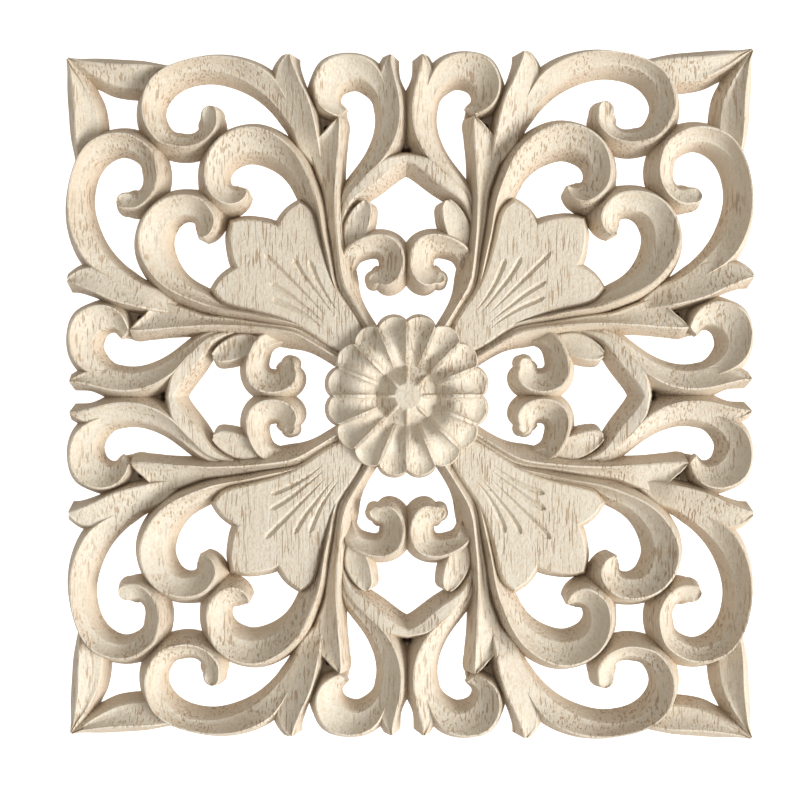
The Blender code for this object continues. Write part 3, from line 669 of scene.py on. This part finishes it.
def eighth_arrays(mesh, close):
    """Corner points and triangles of the cut eighth, snapped to the mirror planes,
    without the faces that lie in them or on each other."""
    shape = bmesh.new()
    shape.from_mesh(mesh)
    bmesh.ops.remove_doubles(shape, verts=shape.verts, dist=close)
    bmesh.ops.dissolve_degenerate(shape, dist=close, edges=shape.edges)
    bmesh.ops.dissolve_limit(shape, angle_limit=math.radians(SAME_PLANE), verts=shape.verts,
                             edges=shape.edges)
    bmesh.ops.triangulate(shape, faces=shape.faces)
    clean = bpy.data.meshes.new("clean")
    shape.to_mesh(clean)
    shape.free()
    points = np.zeros(len(clean.vertices) * 3)
    clean.vertices.foreach_get("co", points)
    points = points.reshape(-1, 3)
    clean.calc_loop_triangles()
    triangles = np.zeros(len(clean.loop_triangles) * 3, dtype=np.int64)
    clean.loop_triangles.foreach_get("vertices", triangles)
    triangles = triangles.reshape(-1, 3)
    bpy.data.meshes.remove(clean)
    on_axis = np.abs(points[:, 0]) < NEAR
    points[on_axis, 0] = 0.0
    on_diagonal = np.abs(points[:, 0] - points[:, 1]) < NEAR
    points[on_diagonal, 0] = points[on_diagonal, 1]
    points[np.abs(points[:, 2]) < NEAR, 2] = 0.0
    inner = on_axis[triangles].all(axis=1) | on_diagonal[triangles].all(axis=1)
    triangles = triangles[~inner]
    order = np.sort(triangles, axis=1)
    _, place, amount = np.unique(order, axis=0, return_inverse=True, return_counts=True)
    return points, triangles[amount[place.ravel()] == 1]


def whole_arrays(points, triangles):
    """The eight mirror images of the eighth, with their shared corners made one."""
    all_points, all_triangles = [], []
    for swap in (False, True):
        base = points[:, [1, 0, 2]] if swap else points
        for sign_u in (1.0, -1.0):
            for sign_v in (1.0, -1.0):
                flip = swap ^ (sign_u < 0) ^ (sign_v < 0)
                turned = triangles[:, ::-1] if flip else triangles
                all_triangles.append(turned + len(points) * len(all_points))
                all_points.append(base * np.array([sign_u, sign_v, 1.0]) + 0.0)
    flat = np.concatenate(all_points)
    faces = np.concatenate(all_triangles)
    keys = np.round(flat / WELD).astype(np.int64)
    _, first, place = np.unique(keys, axis=0, return_index=True, return_inverse=True)
    faces = place.ravel()[faces]
    flat = flat[first]
    good = ((faces[:, 0] != faces[:, 1]) & (faces[:, 1] != faces[:, 2])
            & (faces[:, 2] != faces[:, 0]))
    faces = faces[good]
    used, kept = np.unique(faces, return_inverse=True)
    faces = kept.reshape(-1, 3)
    flat = flat[used]
    placed = np.stack([flat[:, 0], -flat[:, 2], flat[:, 1]], axis=1) * UNIT
    return placed, faces


def open_edges(triangles):
    """Number of edges that do not join exactly two triangles, or 1 where there are none."""
    edges = np.concatenate([triangles[:, [0, 1]], triangles[:, [1, 2]], triangles[:, [2, 0]]])
    _, faces = np.unique(np.sort(edges, axis=1), axis=0, return_counts=True)
    return int((faces != 2).sum()) if len(faces) else 1


class Socket:
    """A shader socket on which plain sums build Math nodes."""

    def __init__(self, finish, out):
        self.finish, self.out = finish, out

    def _math(self, operation, *values):
        return self.finish.node("ShaderNodeMath", {"operation": operation},
                                dict(enumerate(values)))

    def __add__(self, other):
        return self._math("ADD", self, other)

    def __radd__(self, other):
        return self._math("ADD", other, self)

    def __sub__(self, other):
        return self._math("SUBTRACT", self, other)

    def __rsub__(self, other):
        return self._math("SUBTRACT", other, self)

    def __mul__(self, other):
        return self._math("MULTIPLY", self, other)

    def __rmul__(self, other):
        return self._math("MULTIPLY", other, self)

    def __pow__(self, other):
        return self._math("POWER", self, other)

    def __abs__(self):
        return self._math("ABSOLUTE", self)

    def larger(self, other):
        return self._math("MAXIMUM", self, other)

    def smaller(self, other):
        return self._math("MINIMUM", self, other)

    def step(self, low, high):
        """Smooth step from 0 at low to 1 at high."""
        return self.finish.node("ShaderNodeMapRange", {"interpolation_type": "SMOOTHSTEP"},
                                {"Value": self, "From Min": low, "From Max": high},
                                "Result")


class Finish:
    """Builds the nodes of one material."""

    def __init__(self, name):
        self.material = bpy.data.materials.new(name)
        self.material.use_nodes = True
        self.nodes = self.material.node_tree.nodes
        self.links = self.material.node_tree.links
        self.shader = self.nodes["Principled BSDF"]

    def node(self, kind, settings, inputs, output=0):
        """One node: its settings come first, then the values or links of its sockets."""
        node = self.nodes.new(kind)
        for key, value in settings.items():
            setattr(node, key, value)
        for key, value in inputs.items():
            if isinstance(value, Socket):
                self.links.new(value.out, node.inputs[key])
            else:
                node.inputs[key].default_value = value
        return Socket(self, node.outputs[output])

    def coordinate(self, kind):
        """Object coordinates, or the direction that the surface faces for Normal."""
        return self.node("ShaderNodeTexCoord", {}, {}, kind)

    def axis(self, vector, name):
        """The part of a vector along X, Y or Z."""
        return self.node("ShaderNodeSeparateXYZ", {}, {"Vector": vector}, name)

    def noise(self, stretch, detail, rough):
        """Noise on Object coordinates that are stretched along each axis."""
        placed = self.node("ShaderNodeMapping", {},
                           {"Vector": self.coordinate("Object"), "Scale": stretch}, "Vector")
        return self.node("ShaderNodeTexNoise", {"noise_dimensions": "3D"},
                         {"Vector": placed, "Scale": 1.0, "Detail": detail,
                          "Roughness": rough}, "Fac")

    def mix(self, share, first, second):
        """Mix of two colours, of which the share is the second. A Mix node's colours are
        its sockets 6 and 7, and its mixed colour is output 2."""
        return self.node("ShaderNodeMix", {"data_type": "RGBA"},
                         {0: share, 6: first, 7: second}, 2)

    def join(self, value, name):
        """Leads a value or colour to a socket of the material's shader."""
        self.links.new(value.out, self.shader.inputs[name])


def pit_shade(across, up, height):
    """1 in the drilled pits below a height and 0 elsewhere: a step on the distance from
    each pit in plan, where the larger and the smaller coordinate stand for all eight
    mirror images. It goes down to the back, where it leaves a small dark spot."""
    far, near = abs(across).larger(abs(up)), abs(across).smaller(abs(up))
    pit = 0.0
    for out, aside, radius in PITS:
        away = ((far - out * UNIT) ** 2 + (near - aside * UNIT) ** 2) ** 0.5
        pit = (1.0 - away.step(radius * UNIT * 0.5, radius * UNIT)) + pit
    return pit * (1.0 - height.step(*PIT_DEPTHS))


def carved_wood(settings):
    """Pale close-grained wood: broad growth bands and fine fibres and pores up the board,
    painted shade that makes it darker and warmer low in the carving and on its walls, a
    painted shadow near black at the bottom of the pits, and fibres torn by the cutter."""
    finish = Finish("pale_carved_wood")
    spot = finish.coordinate("Object")
    across, depth, up = (finish.axis(spot, name) for name in "XYZ")
    height = depth * -1.0
    facing = finish.axis(finish.coordinate("Normal"), "Y")
    # Painted shade: walls that turn away from the front, and wood low in the carving, take the
    # darker colour
    wall = 1.0 - (facing * -1.0).step(*EDGES["wall"])
    low = 1.0 - height.step(*EDGES["low"])
    noise = {name: finish.noise(*values) for name, values in WOOD_NOISE.items()}
    full = {name: value.step(*EDGES[name]) for name, value in noise.items()}
    full["pore"] = full["pore"] * full["pore_patch"]
    # The third colour is painted shade for low wood and walls, also used for the torn fibres; the
    # last is the painted shadow of the pits
    light, mid, shade_and_fuzz, pore, bottom = (
        (*colour, 1.0) for colour in (settings.light_wood, settings.mid_wood,
                                      settings.shade_and_fuzz_wood, settings.pore_colour,
                                      settings.pit_shadow_colour))
    colour = light
    # The low and wall patterns paint shade; growth, fibre, fuzz and pore are the wood's own
    # colour
    for name, pattern, darker in (("growth", full["growth"], mid),
                                  ("fibre", full["fibre"], mid), ("low", low, shade_and_fuzz),
                                  ("wall", wall, shade_and_fuzz), ("fuzz", full["fuzz"], shade_and_fuzz),
                                  ("pore", full["pore"], pore)):
        colour = finish.mix(pattern * SHARES[name], colour, darker)
    # Painted shadow: the pits turn near black towards their bottom
    colour = finish.mix(pit_shade(across, up, height), colour, bottom)
    finish.join(colour, "Base Color")
    relief = noise["fibre"] * 0.5 + noise["fuzz"] * 1.0 - full["pore"] * 0.6
    bump = finish.node("ShaderNodeBump", {}, {"Height": relief, "Strength": BUMP_STRENGTH,
                                              "Distance": BUMP_DISTANCE}, "Normal")
    finish.join(bump, "Normal")
    finish.join(noise["fibre"] * 0.12 + 0.6, "Roughness")
    finish.shader.inputs["Specular IOR Level"].default_value = 0.3
    return finish.material


class AppliqueSettings(bpy.types.PropertyGroup):
    """Sizes and colours of the carved applique."""

    step: bpy.props.FloatProperty(
        name="Step along carving", description="Length of a facet along a band, in drawing units",
        default=1.15, min=0.6, max=4.0)
    turn: bpy.props.FloatProperty(
        name="Turn along carving", description="Turn of a curve between facets, in degrees",
        default=6.5, min=2.0, max=30.0)
    worn: bpy.props.FloatProperty(
        name="Worn arris", description="Width of the worn edge, in drawing units",
        default=0.36, min=0.02, max=0.6)
    crisp: bpy.props.FloatProperty(
        name="Crisp from", description="Edges that turn by more degrees than this stay crisp",
        default=15.0, min=1.0, max=90.0)
    groove_depth: bpy.props.FloatProperty(
        name="Groove depth", description="Depth of the fan's grooves, in drawing units",
        default=1.0, min=0.1, max=3.0)
    groove_width: bpy.props.FloatProperty(
        name="Groove width", description="Width of the fan's grooves, in drawing units",
        default=2.0, min=0.3, max=3.0)
    fan_level: bpy.props.FloatProperty(
        name="Fan height", description="Height of the fan above the back, in drawing units",
        default=8.0, min=4.0, max=11.0)
    rim: bpy.props.FloatProperty(
        name="Rosette radius", description="Radius of the notches between the petals",
        default=21.6, min=18.0, max=24.0)
    light_wood: bpy.props.FloatVectorProperty(
        name="Light wood", description="Colour of the light growth bands", subtype="COLOR",
        size=3, min=0.0, max=1.0, default=(0.65, 0.62, 0.54))
    mid_wood: bpy.props.FloatVectorProperty(
        name="Middle wood", description="Colour of the darker growth bands", subtype="COLOR",
        size=3, min=0.0, max=1.0, default=(0.59, 0.535, 0.44))
    # Painted shade low in the carving and on its walls, also the colour of the torn fibres
    shade_and_fuzz_wood: bpy.props.FloatVectorProperty(
        name="Deep wood", description="Colour low in the carving", subtype="COLOR",
        size=3, min=0.0, max=1.0, default=(0.50, 0.325, 0.18))
    pore_colour: bpy.props.FloatVectorProperty(
        name="Pores", description="Colour of the open pores", subtype="COLOR",
        size=3, min=0.0, max=1.0, default=(0.32, 0.19, 0.09))
    # Painted shadow at the bottom of the drilled pits
    pit_shadow_colour: bpy.props.FloatVectorProperty(
        name="Pits", description="Colour at the bottom of the drilled pits", subtype="COLOR",
        size=3, min=0.0, max=1.0, default=(0.06, 0.035, 0.02))


class StageSettings(bpy.types.PropertyGroup):
    """Camera, light and floor of the studio."""

    lens: bpy.props.FloatProperty(
        name="Lens", description="Focal length of the camera", default=63.06, min=20.0,
        max=200.0, unit="CAMERA")
    floor_drop: bpy.props.FloatProperty(
        name="Floor drop", description="Distance of the floor below the middle of the piece",
        default=1.0, min=0.1, max=3.0, unit="LENGTH")
    backdrop: bpy.props.FloatProperty(
        name="Backdrop distance", description="Distance of the backdrop behind the piece",
        default=1.3, min=0.8, max=4.0, unit="LENGTH")
    key_power: bpy.props.FloatProperty(
        name="Key light", description="Power of the soft light from the right",
        default=32.0, min=0.0, max=200.0, unit="POWER")
    sky: bpy.props.FloatProperty(
        name="Surrounding light", description="Strength of the white surroundings",
        default=0.56, min=0.0, max=5.0)


class APPLIQUE_OT_carving(bpy.types.Operator):
    """Carve the applique as one solid and put it in place of the plain one"""

    bl_idname = "applique.carving"
    bl_label = "Carved Applique"

    def execute(self, context):
        scene = context.scene
        settings = scene.applique
        groups = {}
        for name in ("bodies", "fan", "cuts", "bounds"):
            groups[name] = bpy.data.collections.new(name)
            scene.collection.children.link(groups[name])
        target = self.carved_eighth(scene, settings, groups)
        for close in CLOSE:
            points, triangles = whole_arrays(*eighth_arrays(target.data, close))
            if not open_edges(triangles):
                break
        else:
            raise RuntimeError("The carved applique did not close to one solid")
        for group in groups.values():
            for helper in list(group.objects):
                bpy.data.objects.remove(helper, do_unlink=True)
            bpy.data.collections.remove(group)
        bpy.data.objects.remove(target, do_unlink=True)
        mesh = bpy.data.meshes.new("carved_applique")
        mesh.from_pydata(points.tolist(), [], triangles.tolist())
        shape = bmesh.new()
        shape.from_mesh(mesh)
        turn_outwards(shape)
        shape.to_mesh(mesh)
        shape.free()
        mesh.shade_smooth()
        mesh.set_sharp_from_angle(angle=math.radians(settings.crisp))
        piece = bpy.data.objects.new("carved_applique", mesh)
        scene.collection.objects.link(piece)
        mesh.materials.append(carved_wood(settings))
        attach(piece, "root")
        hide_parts("applique")
        return {"FINISHED"}

    def carved_eighth(self, scene, settings, groups):
        """The rosette, bands and grooved fan made one body and cut to the eighth."""
        step, turn, worn = settings.step, settings.turn, settings.worn
        level = settings.fan_level
        target = helper_body("rosette", rosette_surface(settings.rim), scene.collection)
        for name, band in BANDS.items():
            surface = band_surface(band["stations"], band["nose"], band["cove"], band["rows"],
                                   step, turn, worn)
            helper_body(name, surface, groups["bodies"])
        for lobe in ("tip", "side", "mirrored side"):
            helper_body(f"fan {lobe}", fan_surface(lobe, step, turn, level, worn),
                        groups["fan"])
        for place, line in enumerate(GROOVES):
            surface = groove_surface(line, step, settings.groove_width,
                                     settings.groove_depth, level)
            helper_body(f"groove_{place}", surface, groups["cuts"])
        helper_body("wedge", wedge_surface(), groups["bounds"])
        fan = groups["fan"].objects["fan side"]
        groups["fan"].objects.unlink(fan)
        scene.collection.objects.link(fan)
        carve(fan, groups["fan"], "UNION")
        carve(fan, groups["cuts"], "DIFFERENCE")
        scene.collection.objects.unlink(fan)
        groups["bodies"].objects.link(fan)
        carve(target, groups["bodies"], "UNION")
        carve(target, groups["bounds"], "INTERSECT")
        return target


class APPLIQUE_OT_stage(bpy.types.Operator):
    """Set up the floor, the soft light and the camera at the photograph's angle"""

    bl_idname = "applique.stage"
    bl_label = "Studio"

    def execute(self, context):
        scene = context.scene
        settings = scene.applique_stage
        half, back, low = SHEET_HALF, settings.backdrop, -settings.floor_drop
        self.sheet(scene, "floor", [(-half, -half, low), (half, -half, low),
                                    (half, back, low), (-half, back, low)], 0.0)
        self.sheet(scene, "backdrop", [(-half, back, low), (half, back, low),
                                       (half, back, -low), (-half, back, -low)],
                   BACKDROP_GLOW)
        self.light(scene, settings)
        self.camera(scene, settings)
        scene.view_settings.view_transform = "Standard"
        return {"FINISHED"}

    def sheet(self, scene, name, points, glow):
        """Flat pale sheet of the stage, lit from within where glow is above 0."""
        mesh = bpy.data.meshes.new(name)
        mesh.from_pydata(points, [], [(0, 1, 2, 3)])
        sheet = bpy.data.objects.new(name, mesh)
        scene.collection.objects.link(sheet)
        finish = Finish(f"pale_{name}")
        finish.shader.inputs["Base Color"].default_value = SHEET_COLOUR
        finish.shader.inputs["Roughness"].default_value = SHEET_ROUGHNESS
        finish.shader.inputs["Emission Color"].default_value = (1.0, 1.0, 1.0, 1.0)
        finish.shader.inputs["Emission Strength"].default_value = glow
        mesh.materials.append(finish.material)

    def light(self, scene, settings):
        """Pale surroundings, and a large lamp low on the right that faces the piece."""
        world = bpy.data.worlds.new("surroundings")
        world.use_nodes = True
        background = world.node_tree.nodes["Background"]
        background.inputs["Color"].default_value = SKY_COLOUR
        background.inputs["Strength"].default_value = settings.sky
        scene.world = world
        lamp = bpy.data.lights.new("key", "AREA")
        lamp.shape = "SQUARE"
        lamp.size = KEY_SIZE
        lamp.energy = settings.key_power
        lamp.color = KEY_COLOUR
        key = bpy.data.objects.new("key", lamp)
        direction = Vector(KEY_DIRECTION).normalized()
        key.location = direction * KEY_DISTANCE
        key.rotation_euler = direction.to_track_quat("Z", "Y").to_euler()
        scene.collection.objects.link(key)

    def camera(self, scene, settings):
        """Camera fitted to the photograph: turned by small angles about the drawing's
        axes, 0.41 m in front, and shifted so that the pixel that it looks straight at
        falls where the picture has it."""
        turn_x, turn_y, turn_z = (Matrix.Rotation(angle, 3, axis)
                                  for angle, axis in zip(CAMERA_TURNS, "XYZ"))
        to_frame = Matrix(((1, 0, 0), (0, 0, -1), (0, 1, 0)))
        pose = (to_frame @ (turn_z @ turn_y @ turn_x)).to_4x4()
        pose.translation = to_frame @ Vector(CAMERA_PLACE) * UNIT
        data = bpy.data.cameras.new("camera")
        data.sensor_width = SENSOR
        data.lens = settings.lens
        data.shift_x = (PICTURE / 2 - STRAIGHT_AHEAD[0]) / PICTURE
        data.shift_y = (STRAIGHT_AHEAD[1] - PICTURE / 2) / PICTURE
        data.clip_start = 0.01
        data.clip_end = 20.0
        camera = bpy.data.objects.new("camera", data)
        camera.matrix_world = pose
        scene.collection.objects.link(camera)
        scene.camera = camera


class APPLIQUE_PT_panel(bpy.types.Panel):
    """Sizes, colours and steps of the carved applique"""

    bl_label = "Applique"
    bl_idname = "APPLIQUE_PT_panel"
    bl_space_type = "VIEW_3D"
    bl_region_type = "UI"
    bl_category = "Applique"

    def draw(self, context):
        column = self.layout.column()
        for name in AppliqueSettings.__annotations__:
            column.prop(context.scene.applique, name)
        column.operator(APPLIQUE_OT_carving.bl_idname)
        for name in StageSettings.__annotations__:
            column.prop(context.scene.applique_stage, name)
        column.operator(APPLIQUE_OT_stage.bl_idname)


CLASSES = (AppliqueSettings, StageSettings, APPLIQUE_OT_carving, APPLIQUE_OT_stage,
           APPLIQUE_PT_panel)


def register():
    for cls in CLASSES:
        bpy.utils.register_class(cls)
    bpy.types.Scene.applique = bpy.props.PointerProperty(type=AppliqueSettings)
    bpy.types.Scene.applique_stage = bpy.props.PointerProperty(type=StageSettings)


def unregister():
    del bpy.types.Scene.applique_stage
    del bpy.types.Scene.applique
    for cls in reversed(CLASSES):
        bpy.utils.unregister_class(cls)


def main():
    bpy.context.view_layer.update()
    register()
    bpy.ops.applique.carving()
    bpy.ops.applique.stage()


if __name__ == "__main__":
    main()
